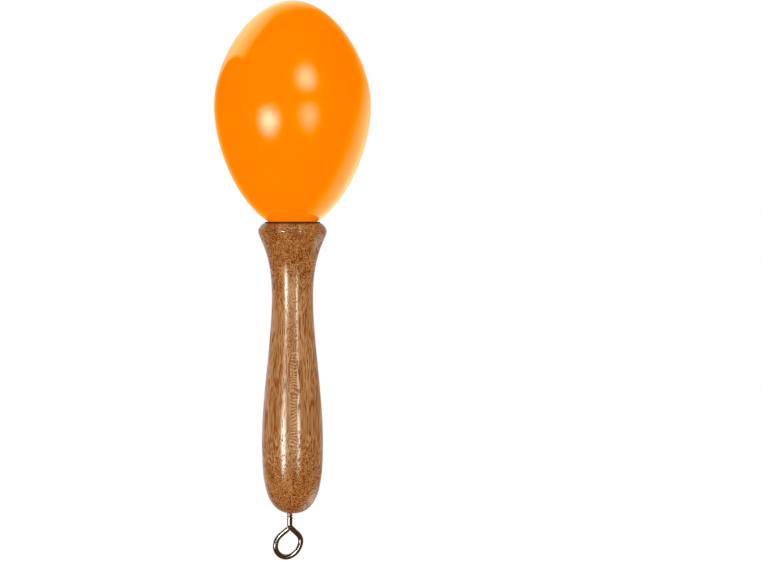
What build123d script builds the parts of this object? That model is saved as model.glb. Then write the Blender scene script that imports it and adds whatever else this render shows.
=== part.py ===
from build123d import *
import os
from math import cos, pi, radians, sin, sqrt, tan

# Handled egg shaker: a hollow plastic egg of steel pellets on a turned wooden handle, with a screw eye
# in the handle's end. Millimetres. Z is the turning axis, egg upwards, and the origin is on that axis
# at the height of the eye's lowest point.

# Screw eye, bent by hand from wire and screwed in a little beside the handle's axis
WIRE_DIA = 2.0
SCREW_OFFSET = -1.0
CROOK_RADIUS = 1.5
NEAR_ARM_ANGLE = 46.6          # degrees between the shank and the arm that leaves its crook
NEAR_ARM_LENGTH = 4.15
EYE_BENDS = ((3.47, 55.0), (6.78, 56.4), (3.94, 115.9), (5.86, 50.0))  # radius and turn in degrees
FAR_ARM_LENGTH = 3.25
WIRE_END_CHAMFER = 0.2
THREAD_START = 15.6
THREAD_TURNS_LENGTH = 11.1
THREAD_PITCH = 1.05
THREAD_DIA = 2.4
THREAD_CORE_DIA = 1.7
THREAD_CREST = 0.12
THREAD_ROOT = 0.84
SCREW_POINT_LENGTH = 2.0

# Turned handle, as (radius, height) of each feature
TOP_FACE_RADIUS = 10.7
HANDLE_TOP = 126.2
RIM = (12.85, 123.1)
WAIST = (7.74, 98.5)
BULGE = (11.48, 44.5)
HANDLE_END = 17.3
PILOT_DIA = 1.8
PILOT_DEPTH = 13.2

# Reach of the handle's curves beyond each feature, along the axis
RIM_ROLL_REACH_IN = 0.3
RIM_ROLL_REACH_UP = 1.6
FLARE_REACH = 2.6
WAIST_REACH_UP = 17.0
WAIST_REACH_DOWN = 16.2
BULGE_REACH_UP = 17.5
BULGE_REACH_DOWN = 13.8
END_REACH = 10.7

# Black washer between handle and egg
WASHER_THICKNESS = 0.45
WASHER_RADIUS = 10.4
WASHER_EDGE = 0.15

# Plastic egg
EGG_RADIUS = 29.42
EGG_WIDEST = 170.3
EGG_TOP = 209.7
EGG_TIP = 123.8                # where the egg's curve would close, inside the handle
EGG_BLUNTNESS = 0.525          # reach of the curve at each end, as a share of the radius
EGG_FULLNESS = 0.443           # reach of the curve at the widest place, as a share of each half's height
EGG_WALL = 2.0
LAP_HEIGHT = 3.0
LAP_WALL = 1.0
LAP_GAP = 0.05

# Spigot under the egg, glued into the handle's socket
SPIGOT_DIA = 13.0
SPIGOT_WALL = 2.0
SPIGOT_LENGTH = 12.0
SOCKET_CLEARANCE = 0.05
SOCKET_SPARE_DEPTH = 0.5

# Pellets, in one layer on a dished floor
DISH_RADIUS = 40.0
DISH_LOW = 129.0
FLOOR_THICKNESS = 2.0
PELLET_DIA = 3.0
PELLET_STEP = 3.1
PELLET_RINGS = 4
PELLET_LIFT = 0.02

SHOULDER = HANDLE_TOP + WASHER_THICKNESS
DISH_CENTRE = DISH_LOW + DISH_RADIUS


def turned(*edges):
    """The solid of revolution about Z of an outline drawn as (radius, height) edges."""
    return revolve(Plane.XZ * make_face(Wire(edges)), Axis.Z)


def disc(radius, low, high):
    """A round slab on the axis, between two heights."""
    return Pos(0, 0, (low + high) / 2) * Cylinder(radius, high - low)


def egg(inset):
    """The solid egg, every surface moved in by about inset."""
    radius = EGG_RADIUS - inset
    top = EGG_TOP - inset
    tip = EGG_TIP + inset
    shoulder_reach = EGG_FULLNESS * (top - EGG_WIDEST)
    belly_reach = EGG_FULLNESS * (EGG_WIDEST - tip)
    end_reach = EGG_BLUNTNESS * radius
    crown = Bezier(
        (0, top),
        (end_reach, top),
        (radius, EGG_WIDEST + shoulder_reach),
        (radius, EGG_WIDEST),
    )
    belly = Bezier(
        (radius, EGG_WIDEST),
        (radius, EGG_WIDEST - belly_reach),
        (end_reach, tip),
        (0, tip),
    )
    return turned(crown, belly, Line((0, tip), (0, top)))


def pellet_chamber():
    """The space inside the egg, closed below by the dished floor."""
    below_dish = disc(EGG_RADIUS, EGG_TIP, DISH_CENTRE) - Pos(0, 0, DISH_CENTRE) * Sphere(DISH_RADIUS)
    return egg(EGG_WALL) - below_dish


def upper_shell():
    """The crown of the egg, rebated inside its edge to take the lower shell's lip."""
    crown = egg(0) - disc(2 * EGG_RADIUS, 0, EGG_WIDEST)
    rebate = disc(EGG_RADIUS - LAP_WALL, EGG_WIDEST, EGG_WIDEST + LAP_HEIGHT + LAP_GAP)
    return crown - egg(EGG_WALL) - rebate


def lower_shell():
    """The belly of the egg, with the lip, the dished floor and the tubular spigot."""
    belly = egg(0) - disc(EGG_RADIUS, 0, SHOULDER) - disc(2 * EGG_RADIUS, EGG_WIDEST, EGG_TOP)
    lip = disc(EGG_RADIUS - LAP_WALL - LAP_GAP, EGG_WIDEST - LAP_HEIGHT, EGG_WIDEST + LAP_HEIGHT)
    lip -= disc(EGG_RADIUS - EGG_WALL, EGG_WIDEST, EGG_WIDEST + LAP_HEIGHT)
    spigot = disc(SPIGOT_DIA / 2, SHOULDER - SPIGOT_LENGTH, SHOULDER)
    core = disc(SPIGOT_DIA / 2 - SPIGOT_WALL, SHOULDER - SPIGOT_LENGTH, DISH_LOW - FLOOR_THICKNESS)
    return belly + lip + spigot - pellet_chamber() - core


def neck_washer():
    """A thin ring round the spigot, its outer edges rounded."""
    bore = SPIGOT_DIA / 2 + SOCKET_CLEARANCE
    ring = disc(WASHER_RADIUS, HANDLE_TOP, SHOULDER) - disc(bore, HANDLE_TOP, SHOULDER)
    outer_edges = ring.edges().filter_by(GeomType.CIRCLE).sort_by(SortBy.RADIUS)[-2:]
    return fillet(outer_edges, WASHER_EDGE)


def handle():
    """Turned from the rolled rim through the waist to the rounded end, socketed and pilot drilled."""
    top_face = Line((0, HANDLE_TOP), (TOP_FACE_RADIUS, HANDLE_TOP))
    rolled_rim = Bezier(
        (TOP_FACE_RADIUS, HANDLE_TOP),
        (TOP_FACE_RADIUS + RIM_ROLL_REACH_IN, HANDLE_TOP),
        (RIM[0], RIM[1] + RIM_ROLL_REACH_UP),
        RIM,
    )
    flare = Bezier(RIM, (RIM[0], RIM[1] - FLARE_REACH), (WAIST[0], WAIST[1] + WAIST_REACH_UP), WAIST)
    grip = Bezier(
        WAIST,
        (WAIST[0], WAIST[1] - WAIST_REACH_DOWN),
        (BULGE[0], BULGE[1] + BULGE_REACH_UP),
        BULGE,
    )
    rounded_end = Bezier(
        BULGE,
        (BULGE[0], BULGE[1] - BULGE_REACH_DOWN),
        (END_REACH, HANDLE_END),
        (0, HANDLE_END),
    )
    blank = turned(top_face, rolled_rim, flare, grip, rounded_end, Line((0, HANDLE_END), (0, HANDLE_TOP)))
    socket_floor = SHOULDER - SPIGOT_LENGTH - SOCKET_SPARE_DEPTH
    socket = disc(SPIGOT_DIA / 2 + SOCKET_CLEARANCE, socket_floor, HANDLE_TOP)
    pilot = Pos(SCREW_OFFSET, 0, 0) * disc(PILOT_DIA / 2, HANDLE_END - WIRE_DIA, HANDLE_END + PILOT_DEPTH)
    return blank - socket - pilot


def eye_wire():
    """The bent wire: down the shank, out at the crook and round the loop, back nearly to the crook."""
    crook_setback = CROOK_RADIUS * tan(radians(NEAR_ARM_ANGLE) / 2)
    crook = JernArc((0, crook_setback), (0, -1), CROOK_RADIUS, NEAR_ARM_ANGLE)
    near_arm = PolarLine(crook @ 1, NEAR_ARM_LENGTH - crook_setback, direction=crook % 1)
    loop = [crook, near_arm]
    for radius, turn in EYE_BENDS:
        loop.append(JernArc(loop[-1] @ 1, loop[-1] % 1, radius, -turn))
    loop.append(PolarLine(loop[-1] @ 1, FAR_ARM_LENGTH, direction=loop[-1] % 1))
    crook_height = WIRE_DIA / 2 - Wire(loop).bounding_box().min.Y
    shank = Line((0, THREAD_START - crook_height), crook @ 0)
    path = Pos(0, 0, crook_height) * (Plane.XZ * Wire([shank, *loop]))
    wire = sweep(Plane(path @ 0, z_dir=path % 0) * Circle(WIRE_DIA / 2), path)
    cut_radius = WIRE_DIA / 2 - WIRE_END_CHAMFER
    bevel = Pos(0, 0, WIRE_END_CHAMFER / 2) * Cone(WIRE_DIA / 2, cut_radius, WIRE_END_CHAMFER)
    return wire + Plane(path @ 1, z_dir=path % 1) * bevel


def screw_thread():
    """The helical ridge alone, its root sunk a little into the core."""
    root_radius = 0.93 * THREAD_CORE_DIA / 2
    helix = Pos(0, 0, THREAD_START) * Helix(THREAD_PITCH, THREAD_TURNS_LENGTH, root_radius)
    crest = THREAD_DIA / 2 - root_radius
    ridge = Polyline(
        (0, -THREAD_ROOT / 2),
        (crest, -THREAD_CREST / 2),
        (crest, THREAD_CREST / 2),
        (0, THREAD_ROOT / 2),
        close=True,
    )
    section = Plane(helix @ 0, x_dir=(1, 0, 0), z_dir=helix % 0) * make_face(ridge)
    return sweep(section, helix, is_frenet=True)


def screw_core():
    """The straight core under the thread, from inside the shank to the point."""
    radius = THREAD_CORE_DIA / 2
    buried = THREAD_START - WIRE_DIA
    point_start = THREAD_START + THREAD_TURNS_LENGTH + THREAD_ROOT
    tip = point_start + SCREW_POINT_LENGTH
    outline = Polyline((0, buried), (radius, buried), (radius, point_start), (0, tip), close=True)
    return turned(*outline.edges())


def screw_eye():
    return Pos(SCREW_OFFSET, 0, 0) * (screw_core() + screw_thread() + eye_wire())


def pellet_places():
    """Pellet centres ring by ring from the middle, each resting just clear of the dish."""
    places = []
    for ring in range(PELLET_RINGS):
        radius = ring * PELLET_STEP
        swing = DISH_RADIUS - PELLET_DIA / 2 - PELLET_LIFT
        height = DISH_CENTRE - sqrt(swing**2 - radius**2)
        count = max(1, 6 * ring)
        for place in range(count):
            angle = 2 * pi * place / count
            places.append((radius * cos(angle), radius * sin(angle), height))
    return places


nodes = {
    "upper_shell": upper_shell(),
    "lower_shell": lower_shell(),
    "neck_washer": neck_washer(),
    "handle": handle(),
    "screw_eye": screw_eye(),
}
for number, place in enumerate(pellet_places(), start=1):
    nodes[f"pellet_{number:02d}"] = Pos(*place) * Sphere(PELLET_DIA / 2)

os.makedirs("parts", exist_ok=True)
for name, solid in nodes.items():
    export_step(solid, f"parts/{name}.step")
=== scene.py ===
from math import cos, pi, radians, sin

import bpy
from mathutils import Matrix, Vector


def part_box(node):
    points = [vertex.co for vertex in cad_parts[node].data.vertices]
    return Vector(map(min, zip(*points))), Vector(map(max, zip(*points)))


# Looks of the handled egg shaker: lacquered wood, glossy orange plastic, bright nickel wire, a black
# washer and steel pellets, in a soft white studio. Metres, in the frame of the CAD model: +Z is up the
# handle, and -Y faces the camera. Colours are linear.

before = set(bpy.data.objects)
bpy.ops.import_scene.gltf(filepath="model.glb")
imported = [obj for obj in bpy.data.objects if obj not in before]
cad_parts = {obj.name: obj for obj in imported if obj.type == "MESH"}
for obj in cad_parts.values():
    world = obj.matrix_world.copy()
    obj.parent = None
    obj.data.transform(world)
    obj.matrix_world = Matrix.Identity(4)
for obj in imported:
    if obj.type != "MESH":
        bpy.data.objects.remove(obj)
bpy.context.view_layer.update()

MM = 0.001


def rgb(red, green, blue):
    return (red, green, blue, 1.0)


def grey(value):
    return rgb(value, value, value)


class Graph:
    """Adds shader nodes to one node tree. Most methods return the new node's output socket."""

    def __init__(self, tree):
        self.tree = tree
        tree.nodes.clear()

    def node(self, kind, inputs=(), **settings):
        """A node with its settings, each input set to a value or joined to another socket."""
        made = self.tree.nodes.new(kind)
        for name, value in settings.items():
            setattr(made, name, value)
        for key, value in dict(inputs).items():
            if isinstance(value, bpy.types.NodeSocket):
                self.tree.links.new(value, made.inputs[key])
            else:
                made.inputs[key].default_value = value
        return made

    def math(self, operation, *values):
        return self.node("ShaderNodeMath", enumerate(values), operation=operation).outputs[0]

    def product(self, first, *others):
        for other in others:
            first = self.math("MULTIPLY", first, other)
        return first

    def brightest(self, first, *others):
        for other in others:
            first = self.math("MAXIMUM", first, other)
        return first

    def vector(self, operation, *values):
        made = self.node("ShaderNodeVectorMath", enumerate(values), operation=operation)
        return made.outputs["Value" if operation in ("DOT_PRODUCT", "LENGTH") else "Vector"]

    def split(self, vector):
        """The X, Y and Z of a vector."""
        return tuple(self.node("ShaderNodeSeparateXYZ", {0: vector}).outputs)

    def colour(self, red, green, blue):
        return self.node("ShaderNodeCombineColor", {0: red, 1: green, 2: blue}).outputs[0]

    def smooth(self, value, start, end, low=0.0, high=1.0):
        """Eases from low to high as value goes from start to end."""
        inputs = {"Value": value, "From Min": start, "From Max": end, "To Min": low, "To Max": high}
        made = self.node("ShaderNodeMapRange", inputs, interpolation_type="SMOOTHSTEP")
        return made.outputs["Result"]

    def blend(self, factor, first, second, mode="MIX"):
        """Mixes two colours."""
        made = self.node("ShaderNodeMix", data_type="RGBA", blend_type=mode)
        for socket, value in zip((made.inputs[0], made.inputs[6], made.inputs[7]), (factor, first, second)):
            if isinstance(value, bpy.types.NodeSocket):
                self.tree.links.new(value, socket)
            else:
                socket.default_value = value
        return made.outputs[2]

    def place(self):
        """Object coordinates, which on the handle are those of the CAD model."""
        return self.node("ShaderNodeTexCoord").outputs["Object"]

    def noise(self, across, along, detail, roughness=0.5, distortion=0.0, place=None):
        """Noise whose blotches are this many millimetres across and along the handle."""
        place = self.place() if place is None else place
        scale = (1 / (across * MM), 1 / (across * MM), 1 / (along * MM))
        inputs = {
            "Vector": self.vector("MULTIPLY", place, scale),
            "Scale": 1.0,
            "Detail": detail,
            "Roughness": roughness,
            "Distortion": distortion,
        }
        return self.node("ShaderNodeTexNoise", inputs).outputs["Fac"]

    def bump(self, height, distance):
        return self.node("ShaderNodeBump", {"Height": height, "Distance": distance}).outputs["Normal"]

    def surface(self, **inputs):
        """The finished surface. Underscores in a name stand for spaces."""
        shader = self.node("ShaderNodeBsdfPrincipled", {k.replace("_", " "): v for k, v in inputs.items()})
        self.node("ShaderNodeOutputMaterial", {"Surface": shader.outputs["BSDF"]})


def new_material(name):
    material = bpy.data.materials.new(name)
    material.use_nodes = True
    return material, Graph(material.node_tree)


def dress(node, material):
    """Gives a CAD node its material."""
    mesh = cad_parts[node].data
    mesh.materials.clear()
    mesh.materials.append(material)


# --- Materials

ORANGE = rgb(1.0, 0.196, 0.0)
YELLOWER_ORANGE = rgb(1.0, 0.204, 0.0)


def glossy_orange():
    """Moulded plastic: clean orange under a hard gloss that waves very slightly."""
    material, g = new_material("orange_plastic")
    cloud = g.noise(14, 14, detail=3.0)
    haze = g.noise(3, 3, detail=4.0, roughness=0.6)
    g.surface(
        Base_Color=g.blend(g.smooth(cloud, 0.3, 0.7), ORANGE, YELLOWER_ORANGE),
        Roughness=g.smooth(haze, 0.25, 0.75, 0.02, 0.035),
        IOR=1.5,
        Normal=g.bump(g.noise(5, 5, detail=1.0), 0.003 * MM),
    )
    return material


# The grain runs along the handle for a reach above and below one level, and leans beyond it. The end
# grain shows further out. Reach, lean and distances from the level are in millimetres.
STRAIGHT_LEVEL = 70 * MM
STRAIGHT_REACH = 18
GRAIN_LEAN = 0.047
GRAIN_CURL = 1.6
END_GRAIN_START = 24
END_GRAIN_FULL = 46

PALE_WOOD = rgb(0.490, 0.264, 0.118)
DARK_WOOD = rgb(0.370, 0.174, 0.062)
FIBRE_BROWN = rgb(0.300, 0.115, 0.030)
STREAK_BROWN = rgb(0.240, 0.055, 0.004)
DOT_BROWN = rgb(0.190, 0.036, 0.002)
OPEN_PORE_BROWN = rgb(0.150, 0.030, 0.002)
END_GRAIN_TINT = rgb(1.0, 0.89, 0.68)

# Stripes down the front, as middle, half width, lower end and upper end. All in millimetres.
DOTTED_STRIPE = (0.3, 1.6, 78, 100)
SHEEN_LADDER_STRIPE = (0.75, 1.3, 40, 78)
STRIPE_WANDER = 1.6
STRIPE_BLUR = 0.4                   # of the sides
STRIPE_FADE = 3                     # of the ends
STRIPE_DEPTH = 3                    # a stripe fades in from the handle's middle to this far forward

# The ladder's pale rungs are painted sheen, where fine turning ripples would catch the light.
RUNG_PITCH = 1.22 * MM
RUNG_WANDER = 20.0                  # in radians
DARK_RUNG = rgb(0.230, 0.058, 0.004)
PAINTED_SHEEN_RUNG = rgb(0.530, 0.290, 0.122)

HANDLE_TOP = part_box("handle")[1].z
# Painted shade: the wood darkens towards its top edge, under the washer and the egg.
PAINTED_SHADE_START = HANDLE_TOP - 0.9 * MM    # painted shade, darker where the wood meets the washer
PAINTED_SHADE_FULL = HANDLE_TOP - 0.1 * MM
PAINTED_SHADE_BROWN = rgb(0.050, 0.015, 0.002)

LACQUER_WAVE = 0.012 * MM
PORE_DEPTH = 0.012 * MM


def leaning_grain(g, place, above):
    """The place, carried along the grain to the straight stretch."""
    beyond = g.math("MAXIMUM", g.math("SUBTRACT", g.math("ABSOLUTE", above), STRAIGHT_REACH), 0.0)
    lean = g.product(g.math("POWER", beyond, GRAIN_CURL), g.math("SIGN", above), -GRAIN_LEAN * MM)
    return g.vector("ADD", place, g.node("ShaderNodeCombineXYZ", {"Y": lean}).outputs[0])


def front_stripe(g, place, wander, middle, half_width, low, high):
    """A soft upright stripe on the front whose sides wander together."""
    x, y, z = g.split(place)
    middle = g.math("ADD", g.product(wander, STRIPE_WANDER * MM), (middle - STRIPE_WANDER / 2) * MM)
    off = g.math("ABSOLUTE", g.math("SUBTRACT", x, middle))
    return g.product(
        g.smooth(off, (half_width + STRIPE_BLUR) * MM, (half_width - STRIPE_BLUR) * MM),
        g.smooth(z, (low - STRIPE_FADE) * MM, (low + STRIPE_FADE) * MM),
        g.smooth(z, (high + STRIPE_FADE) * MM, (high - STRIPE_FADE) * MM),
        g.smooth(y, 0.0, -STRIPE_DEPTH * MM),
    )


def pore_noise(g, grain, end_grain, dotted):
    """Highest in the pores, which are long streaks that turn to dots. They crowd together in patches."""
    patches = g.noise(5, 40, detail=2.0, place=grain)
    streaks = g.noise(0.40, 16, detail=1.0, distortion=0.3, place=grain)
    dots = g.noise(0.40, 0.44, detail=0.0)
    pores = g.math("ADD", streaks, g.product(dotted, g.math("SUBTRACT", dots, streaks)))
    crowding = g.smooth(patches, 0.35, 0.65, 0.055, -0.03)
    crowding = g.math("SUBTRACT", crowding, g.product(end_grain, 0.015))
    return g.math("SUBTRACT", pores, crowding)


def painted_sheen_ladder(g, height, wander):
    """Painted sheen: pale rungs on brown, where fine turning ripples would catch the light, and how
    strongly they show: they are broken by gaps.
    """
    turn = g.math("ADD", g.product(height, 2 * pi / RUNG_PITCH), g.product(wander, RUNG_WANDER))
    rung = g.smooth(g.math("SINE", turn), -0.3, 0.6)
    gaps = g.smooth(g.noise(0.8, 1.6, detail=1.0), 0.38, 0.6, 0.25, 0.95)
    return g.blend(rung, DARK_RUNG, PAINTED_SHEEN_RUNG), gaps


def lacquered_wood():
    """Tan hardwood under clear lacquer, which alone shines. Its grain leans out of the handle above and
    below the middle, so the pores show as short flecks near both ends and as long streaks between them.
    A ladder of pale rungs, painted sheen of fine turning ripples, runs down the front, with a column of
    dots above it."""
    material, g = new_material("lacquered_wood")
    place = g.place()
    height = g.split(place)[2]
    above = g.math("DIVIDE", g.math("SUBTRACT", height, STRAIGHT_LEVEL), MM)
    grain = leaning_grain(g, place, above)
    end_grain = g.smooth(g.math("ABSOLUTE", above), END_GRAIN_START, END_GRAIN_FULL)
    wander = g.noise(3, 6, detail=2.0)

    bands = g.noise(1.8, 90, detail=2.0, roughness=0.6, place=grain)
    fibres = g.noise(0.30, 30, detail=0.0, place=grain)
    wood = g.blend(g.smooth(bands, 0.36, 0.64), PALE_WOOD, DARK_WOOD)
    wood = g.blend(g.smooth(fibres, 0.35, 0.65, 0.0, 0.55), wood, FIBRE_BROWN)

    dotted = g.math("MAXIMUM", g.product(end_grain, 0.75), front_stripe(g, place, wander, *DOTTED_STRIPE))
    pore = pore_noise(g, grain, end_grain, dotted)
    fleck = g.product(g.smooth(pore, 0.50, 0.545), g.smooth(dotted, 0.0, 0.7, 0.78, 0.97))
    wood = g.blend(fleck, wood, g.blend(end_grain, STREAK_BROWN, DOT_BROWN))
    open_pore = g.smooth(pore, 0.55, 0.62)
    darkness = g.product(open_pore, g.smooth(end_grain, 0.0, 1.0, 0.45, 0.95))
    wood = g.blend(darkness, wood, OPEN_PORE_BROWN)
    wood = g.blend(end_grain, wood, END_GRAIN_TINT, "MULTIPLY")

    # Painted sheen: a ladder of pale rungs down the front.
    sheen_rungs, gaps = painted_sheen_ladder(g, height, wander)
    wood = g.blend(g.product(front_stripe(g, place, wander, *SHEEN_LADDER_STRIPE), gaps), wood, sheen_rungs)
    # Painted shade along the top edge, where the washer and the egg would shade the wood.
    wood = g.blend(g.smooth(height, PAINTED_SHADE_START, PAINTED_SHADE_FULL, 0.0, 0.85), wood, PAINTED_SHADE_BROWN)

    waves = g.bump(g.noise(5, 1.6, detail=1.0), LACQUER_WAVE)
    pits = {"Height": open_pore, "Distance": PORE_DEPTH, "Normal": waves}
    pitted = g.node("ShaderNodeBump", pits, invert=True).outputs["Normal"]
    g.surface(
        Base_Color=wood,
        Roughness=g.smooth(fibres, 0.3, 0.7, 0.5, 0.65),
        Specular_IOR_Level=0.0,
        Normal=pitted,
        Coat_Weight=g.math("SUBTRACT", 1.0, g.product(open_pore, 0.85)),
        Coat_Roughness=0.045,
        Coat_IOR=1.45,
        Coat_Normal=pitted,
    )
    return material


def bright_nickel():
    """Plated wire, almost neutral, with fine drawing marks."""
    material, g = new_material("bright_nickel")
    cloud = g.noise(1.5, 1.5, detail=3.0)
    g.surface(
        Base_Color=g.blend(g.smooth(cloud, 0.3, 0.7), rgb(0.74, 0.70, 0.62), rgb(0.62, 0.57, 0.49)),
        Metallic=1.0,
        Roughness=g.smooth(cloud, 0.3, 0.7, 0.03, 0.06),
        Normal=g.bump(g.noise(0.15, 0.15, detail=2.0), 0.002 * MM),
    )
    return material


def black_fibre():
    """Matt pressed fibre, nearly black."""
    material, g = new_material("black_fibre")
    grain = g.noise(0.2, 0.2, detail=3.0)
    g.surface(
        Base_Color=g.blend(grain, rgb(0.006, 0.003, 0.001), rgb(0.024, 0.012, 0.005)),
        Roughness=g.smooth(grain, 0.3, 0.7, 0.6, 0.8),
        Specular_IOR_Level=0.2,
        Normal=g.bump(grain, 0.02 * MM),
    )
    return material


def pellet_steel():
    """Plain steel, dulled by rattling."""
    material, g = new_material("pellet_steel")
    cloud = g.noise(0.8, 0.8, detail=3.0)
    g.surface(
        Base_Color=g.blend(g.smooth(cloud, 0.3, 0.7), grey(0.56), grey(0.42)),
        Metallic=1.0,
        Roughness=g.smooth(cloud, 0.3, 0.7, 0.22, 0.38),
        Normal=g.bump(cloud, 0.01 * MM),
    )
    return material


# --- Studio

def new_object(name, corners, faces):
    mesh = bpy.data.meshes.new(name)
    mesh.from_pydata(corners, [], faces)
    made = bpy.data.objects.new(name, mesh)
    bpy.context.scene.collection.objects.link(made)
    return made


def level_square(name, half_size, height=0.0):
    """A flat square that faces up."""
    s = half_size
    corners = [(-s, -s, height), (s, -s, height), (s, s, height), (-s, s, height)]
    return new_object(name, corners, [(0, 1, 2, 3)])


def facing(azimuth, elevation):
    """Unit direction in degrees: azimuth 0 looks towards the camera and grows towards +X."""
    a, e = radians(azimuth), radians(elevation)
    return Vector((sin(a) * cos(e), -cos(a) * cos(e), sin(e)))


def gloss_only(light, lit):
    """Leaves a light to be seen by nothing but the gloss of the lit nodes."""
    light.visible_camera = False
    light.visible_diffuse = False
    light.visible_shadow = False
    receivers = bpy.data.collections.new(light.name)
    for node in lit:
        receivers.objects.link(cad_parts[node])
    light.light_linking.receiver_collection = receivers


def glow_through(g, colour):
    """A clear surface that glows."""
    light = g.node("ShaderNodeEmission", {"Color": colour, "Strength": 1.0}).outputs[0]
    clear = g.node("ShaderNodeBsdfTransparent").outputs[0]
    both = g.node("ShaderNodeAddShader", {0: light, 1: clear}).outputs[0]
    g.node("ShaderNodeOutputMaterial", {"Surface": both})


LAMP_DISTANCE = 1.0
LAMP_REACH = 2.3                    # how far a lamp's glow spreads, in half sizes


def soft_lamp(name, aim, lit, azimuth, elevation, half_width, half_height, strength, blue, blue_loss):
    """A round glow that only the gloss of the lit nodes shows. Half sizes are in degrees. Its blue is a
    share of its strength less a fixed loss, so the glow turns yellow and then fades."""
    lamp = level_square(name, LAMP_REACH)
    out = facing(azimuth, elevation)
    lamp.location = Vector(aim) + LAMP_DISTANCE * out
    lamp.rotation_euler = (-out).to_track_quat("Z", "Y").to_euler()
    lamp.scale = (LAMP_DISTANCE * sin(radians(half_width)), LAMP_DISTANCE * sin(radians(half_height)), 1)

    material, g = new_material(name)
    place = g.place()
    away = g.vector("DOT_PRODUCT", place, place)
    glow = g.product(g.math("EXPONENT", g.product(away, -1.0)), strength)
    cool = g.math("MAXIMUM", g.math("SUBTRACT", g.product(glow, blue), blue_loss), 0.0)
    glow_through(g, g.colour(glow, glow, cool))
    lamp.data.materials.append(material)
    gloss_only(lamp, lit)


def sky(name, aim, half_size, lit, paint):
    """A big glowing box round the shaker, painted by direction, that only the gloss of the lit nodes
    shows."""
    ends = (-half_size, half_size)
    corners = [(x, y, z) for x in ends for y in ends for z in ends]
    faces = [(0, 1, 3, 2), (4, 6, 7, 5), (0, 4, 5, 1), (2, 3, 7, 6), (0, 2, 6, 4), (1, 5, 7, 3)]
    box = new_object(name, corners, faces)
    box.location = aim
    material, g = new_material(name)
    glow_through(g, paint(g, g.vector("NORMALIZE", g.place())))
    material.cycles.emission_sampling = "NONE"
    box.data.materials.append(material)
    gloss_only(box, lit)


def cap(g, ray, azimuth, elevation, inner, outer, strength=1.0):
    """A round patch of sky, full inside one angle from its middle and gone outside the other. Angles are
    in degrees."""
    towards = g.vector("DOT_PRODUCT", ray, facing(azimuth, elevation))
    return g.smooth(towards, cos(radians(outer)), cos(radians(inner)), 0.0, strength)


EGG_GLOOM_RED = 0.90                # the gloss between the cards stays orange
EGG_GLOOM_GREEN = 0.10
EGG_CARD_BLUE = 0.64                # blue of a card as a share of its level, before the loss
EGG_BLUE_LOSS = 0.85                # blue lost to the sides, which turns a weak reflection orange
EGG_LOSS_FALL = 0.75                # how fast that loss dies away towards straight behind


def egg_sky(g, ray):
    """What the egg's gloss shows. Behind it are a straight-edged card high on the left with a soft one
    beside it, and broad soft ones low on the right. The room in front glows a little yellow."""
    lower_edge = cap(g, ray, 90.6, 45.7, 99.9, 103.0)
    right_edge = cap(g, ray, -158.4, 5.0, 62.3, 67.5)
    corner = g.math("ADD", cap(g, ray, -131.2, 37.4, 0.4, 32.1, 0.85), 0.15)
    straight_card = g.product(lower_edge, right_edge, corner, 2.6)
    soft_card = g.product(lower_edge, cap(g, ray, -157.7, 39.1, 0.4, 40.7, 1.92))
    low_card = cap(g, ray, 139.9, -28.5, 0.0, 51.0, 2.06)
    wide_low_card = cap(g, ray, 166.3, -18.9, 0.0, 68.1, 0.79)
    level = g.brightest(straight_card, soft_card, low_card, wide_low_card)
    behind = g.split(ray)[1]
    loss = g.math("POWER", g.math("MAXIMUM", g.math("SUBTRACT", 1.0, behind), 0.0), EGG_LOSS_FALL)
    loss = g.product(loss, EGG_BLUE_LOSS)
    room = g.math("ADD", cap(g, ray, 10.0, 5.0, 0.0, 105.0, 0.42), EGG_GLOOM_GREEN)
    red = g.math("ADD", level, EGG_GLOOM_RED)
    green = g.math("ADD", level, room)
    blue = g.math("MAXIMUM", g.math("SUBTRACT", g.product(level, EGG_CARD_BLUE), loss), 0.0)
    return g.colour(red, green, blue)


WALL_LEVEL = 0.84                   # the wall behind the handle, and how much it falls from left to right
WALL_FALL = -0.42
LEFT_WALL_TINT = rgb(0.74, 0.92, 0.88)
RIGHT_WALL_TINT = rgb(0.60, 1.0, 1.05)
FAR_WALL_TINT = rgb(0.94, 0.92, 0.87)
WOOD_CARD_TINT = rgb(0.66, 0.98, 1.02)
CEILING_TINT = (0.95, 1.0, 0.82)
HIGH_RIGHT = Vector((0.5, 0, 0.87))


def wood_sky(g, ray):
    """What the lacquer shows. Behind the handle is a greyish wall, dimmer to the sides, low down and high
    on the right, with a card low on the right. A ceiling glows above the front."""
    x, y, z = g.split(ray)
    wall = g.product(
        g.math("ADD", g.product(x, WALL_FALL), WALL_LEVEL),
        g.smooth(y, 0.05, 0.97),
        g.smooth(z, -0.8, -0.2, 0.35, 1.0),
        g.smooth(g.vector("DOT_PRODUCT", ray, HIGH_RIGHT), 0.6, 0.75, 1.0, 0.15),
    )
    wall_tint = g.blend(g.smooth(x, -0.4, 0.4), LEFT_WALL_TINT, RIGHT_WALL_TINT)
    wall_tint = g.blend(g.smooth(y, 0.62, 0.9), wall_tint, FAR_WALL_TINT)
    card = cap(g, ray, 129.0, -38.0, 0.0, 32.0, 2.4)
    tint = g.blend(g.math("GREATER_THAN", card, wall), wall_tint, WOOD_CARD_TINT)
    ceiling = g.vector("MULTIPLY", CEILING_TINT, cap(g, ray, -15.0, 68.0, 22.0, 50.0, 3.0))
    return g.vector("ADD", g.vector("MULTIPLY", tint, g.brightest(wall, card)), ceiling)


WIRE_GLOOM = rgb(0.050, 0.037, 0.026)
REDDER_GLOOM = rgb(0.088, 0.046, 0.020)
REDDER_SIDE = Vector((0.85, 0, -0.1))
SLANT_OFFSET = (0.03, 0, 0.08)      # lines the card up for a view from the middle of the shaker's height
SLANT_ACROSS = Vector((0.774, 0, 0.633))
SLANT_ALONG = Vector((-0.633, 0, 0.774))
SLANT_STRENGTH = 9.0


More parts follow.
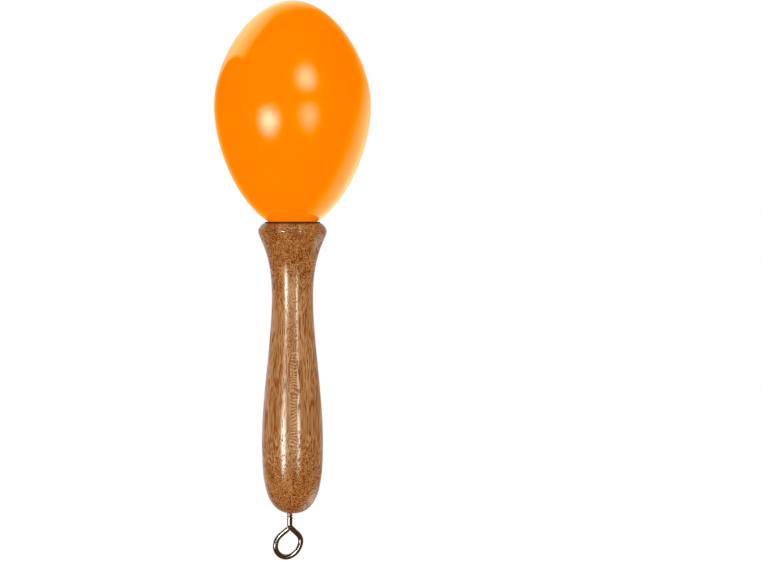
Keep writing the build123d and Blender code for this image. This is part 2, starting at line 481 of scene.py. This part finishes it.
def wire_sky(g, ray):
    """What the wire shows round it: brown gloom, redder on the right and below, a slanting card in front,
    high on the left, and two dim grey cards behind, up on the left and straight behind."""
    y, z = g.split(ray)[1:]
    redder = g.math("MAXIMUM", g.vector("DOT_PRODUCT", ray, REDDER_SIDE), g.product(z, -1.0))
    gloom = g.blend(g.smooth(redder, 0.0, 0.6), WIRE_GLOOM, REDDER_GLOOM)
    shifted = g.vector("ADD", ray, SLANT_OFFSET)
    across = g.math("ABSOLUTE", g.vector("DOT_PRODUCT", shifted, SLANT_ACROSS))
    along = g.vector("DOT_PRODUCT", shifted, SLANT_ALONG)
    slanting_card = g.product(
        g.smooth(across, 0.06, 0.02),
        g.smooth(along, 0.03, 0.09),
        g.smooth(along, 0.42, 0.32),
        g.smooth(y, -0.4, -0.65, 0.0, SLANT_STRENGTH),
    )
    upper_left_card = cap(g, ray, -128.0, 44.0, 5.0, 34.0, 0.45)
    back_card = cap(g, ray, 180.0, 5.0, 15.0, 48.0, 0.7)
    level = g.brightest(slanting_card, upper_left_card, back_card)
    return g.blend(1.0, gloom, g.colour(level, level, level), "ADD")


STUDIO_LIGHT = 1.2
LIGHT_FALL = 0.10                   # the share gained straight to the left, and lost to the right


def white_studio():
    """White light all round, a little weaker from the right. Gloss shows the lamps and skies instead."""
    world = bpy.data.worlds.new("studio")
    bpy.context.scene.world = world
    world.use_nodes = True
    g = Graph(world.node_tree)
    path = g.node("ShaderNodeLightPath").outputs
    ray = g.node("ShaderNodeTexCoord").outputs["Generated"]
    fall = g.vector("DOT_PRODUCT", ray, Vector((-LIGHT_FALL * STUDIO_LIGHT, 0, 0)))
    strength = g.math("ADD", fall, STUDIO_LIGHT)
    light = g.node("ShaderNodeBackground", {"Color": grey(1.0), "Strength": strength}).outputs[0]
    seen = g.node("ShaderNodeBackground", {"Color": grey(1.0), "Strength": 1.0}).outputs[0]
    dark = g.node("ShaderNodeBackground", {"Color": grey(0.0), "Strength": 0.0}).outputs[0]
    unseen = g.node("ShaderNodeMixShader", {0: path["Is Glossy Ray"], 1: light, 2: dark}).outputs[0]
    final = g.node("ShaderNodeMixShader", {0: path["Is Camera Ray"], 1: unseen, 2: seen}).outputs[0]
    g.node("ShaderNodeOutputWorld", {"Surface": final})


FLOOR_HEIGHT = -0.35
FLOOR_HALF_SIZE = 3.0


def pale_floor():
    """A matt floor far below the shaker, which doesn't show in its gloss or tint it."""
    floor = level_square("studio_floor", FLOOR_HALF_SIZE, FLOOR_HEIGHT)
    material, g = new_material("pale_floor")
    g.surface(Base_Color=g.blend(g.noise(40, 40, detail=3.0), grey(0.86), grey(0.88)), Roughness=0.9)
    floor.data.materials.append(material)
    floor.visible_glossy = False
    floor.visible_diffuse = False


# --- Camera

FRAME_WIDTH = 285.75 * MM           # what the picture spans at the handle's axis
LEFT_OF_CENTRE = 33.2 * MM          # the shaker stands left of the picture's middle
CAMERA_HEIGHT = 104.5 * MM
CAMERA_DISTANCE = 1.6
SENSOR = 36.0


def level_camera():
    """Level with the middle of the shaker and square to the eye's loop."""
    data = bpy.data.cameras.new("camera")
    data.sensor_width = SENSOR
    data.lens = SENSOR * CAMERA_DISTANCE / FRAME_WIDTH
    data.clip_end = 50.0
    camera = bpy.data.objects.new("camera", data)
    camera.location = (LEFT_OF_CENTRE, -CAMERA_DISTANCE, CAMERA_HEIGHT)
    camera.rotation_euler = (radians(90), 0, 0)
    bpy.context.scene.collection.objects.link(camera)
    bpy.context.scene.camera = camera


# --- Scene

def front_of(node, x=0.0, z=None):
    """A point on the front face of a node's box, half way up it unless z is given."""
    low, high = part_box(node)
    return Vector((x, low.y, (low.z + high.z) / 2 if z is None else z))


EGG = ["upper_shell", "lower_shell"]
WOODEN = ["handle", "neck_washer"]
WIRE = ["screw_eye"]
PELLETS = [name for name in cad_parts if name.startswith("pellet_")]
EYE_MIDDLE = 6 * MM

egg_front = front_of("upper_shell", z=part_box("upper_shell")[0].z)    # where the egg is widest
grip_front = front_of("handle")
wire_front = front_of("screw_eye", x=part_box("screw_eye")[0].x / 2, z=EYE_MIDDLE)

# Lamps, as azimuth, elevation, half width, half height, strength, share of blue and loss of blue
EGG_LAMPS = {
    "left_lamp": (-35.0, -12.2, 14.3, 9.3, 15.6, 0.82, 0.84),
    "upper_right_lamp": (23.6, 29.4, 14.5, 11.9, 9.9, 0.76, 0.84),
    "right_lamp": (26.0, -8.6, 15.2, 11.6, 6.1, 0.72, 0.84),
}
GRIP_LAMPS = {
    "left_strip": (-34.0, -4.0, 8.0, 10.5, 32.0, 0.92, 0.3),
    "right_strip": (25.8, -1.0, 5.0, 13.0, 18.0, 0.90, 0.3),
    "left_glow": (-24.0, 2.0, 15.0, 15.0, 2.8, 0.75, 0.0),
    "middle_glow": (8.0, 0.0, 13.0, 15.0, 2.6, 0.75, 0.0),
}
WIRE_LAMPS = {"wire_left_lamp": (-38.0, -2.0, 7.5, 4.5, 8.0, 0.95, 0.0)}

looks = (
    (EGG, glossy_orange()),
    (["handle"], lacquered_wood()),
    (WIRE, bright_nickel()),
    (["neck_washer"], black_fibre()),
    (PELLETS, pellet_steel()),
)
for nodes, material in looks:
    for node in nodes:
        dress(node, material)
for node in EGG + WOODEN:
    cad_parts[node].visible_diffuse = False     # no piece shades or tints its neighbour

for name, settings in EGG_LAMPS.items():
    soft_lamp(name, egg_front, EGG, *settings)
for name, settings in GRIP_LAMPS.items():
    soft_lamp(name, grip_front, WOODEN, *settings)
for name, settings in WIRE_LAMPS.items():
    soft_lamp(name, wire_front, WIRE, *settings)
# Each sky is bigger than the last, so that no two share a face
sky("egg_sky", egg_front, 2.4, EGG, egg_sky)
sky("wood_sky", grip_front, 2.6, WOODEN, wood_sky)
sky("wire_sky", wire_front, 2.8, WIRE, wire_sky)
white_studio()
pale_floor()
level_camera()
bpy.context.scene.view_settings.view_transform = "Standard"
